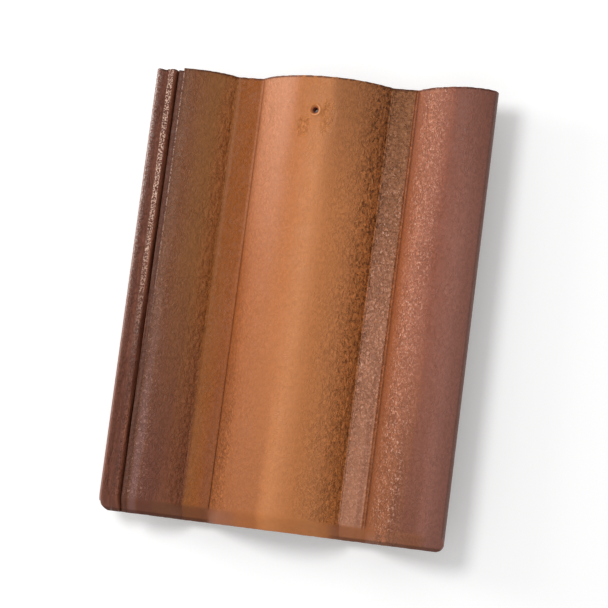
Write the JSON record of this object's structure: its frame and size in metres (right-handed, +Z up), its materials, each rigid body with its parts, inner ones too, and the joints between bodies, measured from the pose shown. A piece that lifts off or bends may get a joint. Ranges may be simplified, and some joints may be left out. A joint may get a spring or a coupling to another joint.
{
  "type": "interlocking roof tile",
  "caption": "Waved roof tile with rolls and flat pans, a ribbed side lock, an overlap edge, a rounded nose, a nail hole, hanging nibs and feet underneath.",
  "frame": {"origin": "middle of the tile's outline, on the floor that the nibs and feet stand on", "axes": "+X across the tile from the ribbed side lock to the overlap edge, +Y up the slope from the nose to the head, +Z up out of the weathered face"},
  "size_m": [0.33, 0.42, 0.057],
  "materials": {
    "fired_clay": "semi-gloss coat shaded from dark brown to orange and rose on the weathered face, bare body underneath"
  },
  "bodies": {
    "root": {"tile": "fired_clay"}
  },
  "joints": []
}
